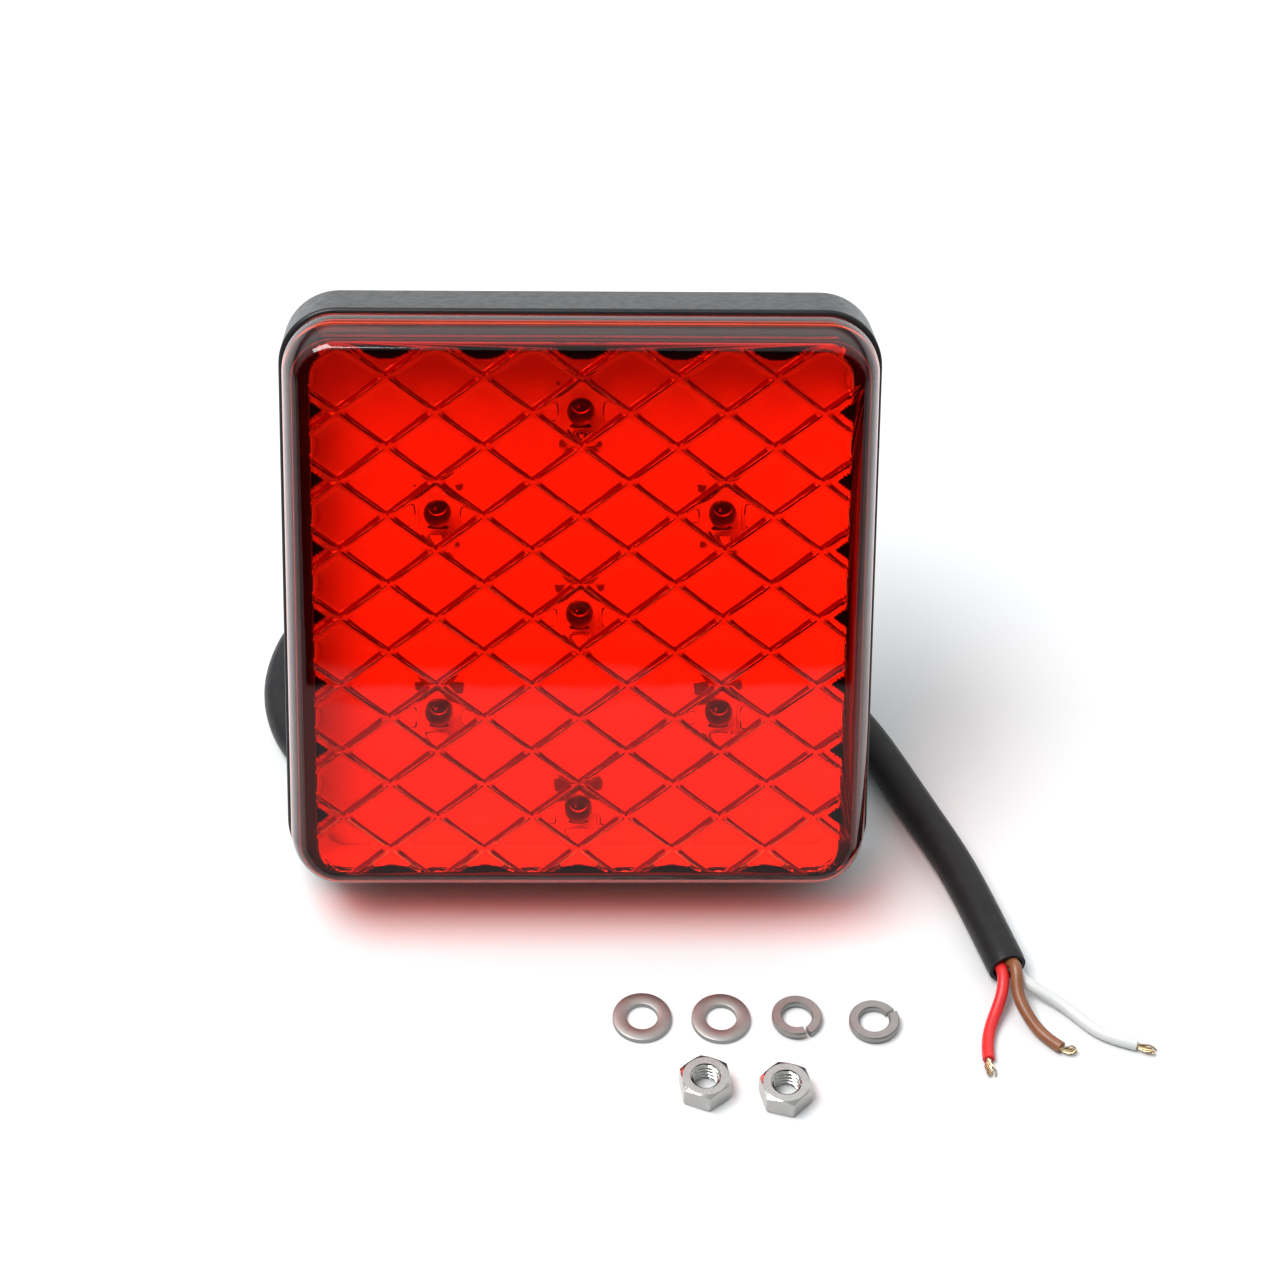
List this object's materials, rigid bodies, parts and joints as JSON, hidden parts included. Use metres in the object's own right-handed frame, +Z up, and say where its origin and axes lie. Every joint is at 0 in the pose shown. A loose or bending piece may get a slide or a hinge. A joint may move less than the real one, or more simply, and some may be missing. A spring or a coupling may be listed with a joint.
{
  "type": "trailer tail light",
  "caption": "Square red LED trailer tail light with a quilted lens, black housing, stud mounting, cable with bare ends, and its loose nuts and washers.",
  "frame": {"origin": "on the table, under the middle of the box round the lamp and its loose kit (the cable is left out of that box)", "axes": "+Z up from the table, -Y towards the side that the lens faces and where the kit lies, +X to the right seen from the front; the lamp leans back 28.5 degrees from upright"},
  "size_m": [0.1543, 0.1242, 0.0973],
  "materials": {
    "red_lens": "clear red moulded acrylic, polished",
    "black_plastic": "moulded black plastic, glossy",
    "black_rubber": "matt black rubber",
    "cable_black": "smooth satin black PVC sheath",
    "clear_resin": "water-clear epoxy",
    "white_board": "white solder mask",
    "component": "moulded component body",
    "solder": "bright metal",
    "zinc_steel": "bright zinc plated steel",
    "copper": "bare copper strands",
    "core_red": "smooth PVC insulation",
    "core_brown": "smooth PVC insulation",
    "core_white": "smooth PVC insulation"
  },
  "bodies": {
    "lamp": {"lens_cover": "red_lens", "lens_seal": "black_rubber", "housing": "black_plastic", "inner_frame": "black_plastic", "circuit_board": "white_board", "led_1": "clear_resin", "led_2": "clear_resin", "led_3": "clear_resin", "led_4": "clear_resin", "led_5": "clear_resin", "led_6": "clear_resin", "led_7": "clear_resin", "resistor_1": "component", "resistor_2": "component", "resistor_3": "component", "resistor_4": "component", "diode_1": "component", "diode_2": "component", "capacitor": "solder", "stud_1": "zinc_steel", "stud_2": "zinc_steel", "cable_gland": "black_rubber", "lead_red": "core_red", "lead_brown": "core_brown", "lead_white": "core_white", "solder_red": "solder", "solder_brown": "solder", "solder_white": "solder", "cable_sheath": "cable_black", "core_red": "core_red", "core_brown": "core_brown", "core_white": "core_white", "strands_red": "copper", "strands_brown": "copper", "strands_white": "copper"},
    "loose_plain_washer_1": {"plain_washer_1": "zinc_steel"},
    "loose_plain_washer_2": {"plain_washer_2": "zinc_steel"},
    "loose_spring_washer_1": {"spring_washer_1": "zinc_steel"},
    "loose_spring_washer_2": {"spring_washer_2": "zinc_steel"},
    "loose_hex_nut_1": {"hex_nut_1": "zinc_steel"},
    "loose_hex_nut_2": {"hex_nut_2": "zinc_steel"}
  },
  "joints": [
    {"name": "plain_washer_1_lift", "type": "slide", "parent": "lamp", "child": "loose_plain_washer_1", "axis": [0, 0, 1], "range_m": [0, 0.03]},
    {"name": "plain_washer_2_lift", "type": "slide", "parent": "lamp", "child": "loose_plain_washer_2", "axis": [0, 0, 1], "range_m": [0, 0.03]},
    {"name": "spring_washer_1_lift", "type": "slide", "parent": "lamp", "child": "loose_spring_washer_1", "axis": [0, 0, 1], "range_m": [0, 0.03]},
    {"name": "spring_washer_2_lift", "type": "slide", "parent": "lamp", "child": "loose_spring_washer_2", "axis": [0, 0, 1], "range_m": [0, 0.03]},
    {"name": "hex_nut_1_lift", "type": "slide", "parent": "lamp", "child": "loose_hex_nut_1", "axis": [0, 0, 1], "range_m": [0, 0.03]},
    {"name": "hex_nut_2_lift", "type": "slide", "parent": "lamp", "child": "loose_hex_nut_2", "axis": [0, 0, 1], "range_m": [0, 0.03]}
  ]
}
